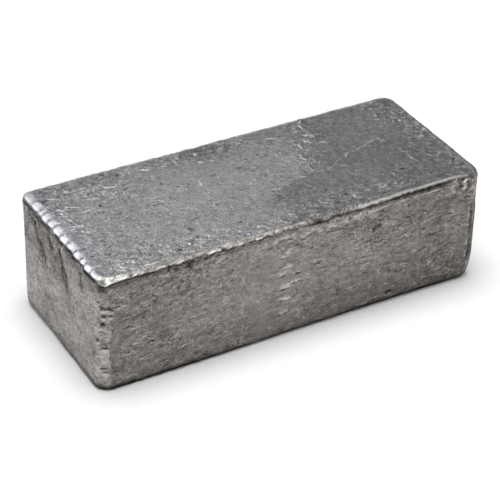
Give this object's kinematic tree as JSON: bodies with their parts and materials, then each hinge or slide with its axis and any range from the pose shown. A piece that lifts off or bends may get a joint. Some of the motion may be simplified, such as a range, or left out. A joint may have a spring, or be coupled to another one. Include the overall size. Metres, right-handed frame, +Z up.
{
  "type": "lead brick",
  "caption": "Solid cast lead brick with rounded upright corners and a round rim along its top edges, stacked as radiation shielding or set down as ballast.",
  "frame": {"origin": "middle of the base, on the surface that the brick lies on", "axes": "+X along the length, +Y across the width, +Z up to the top face"},
  "size_m": [0.203, 0.085, 0.06],
  "materials": {
    "cast_lead": "satin"
  },
  "bodies": {
    "root": {"lead_brick": "cast_lead"}
  },
  "joints": []
}
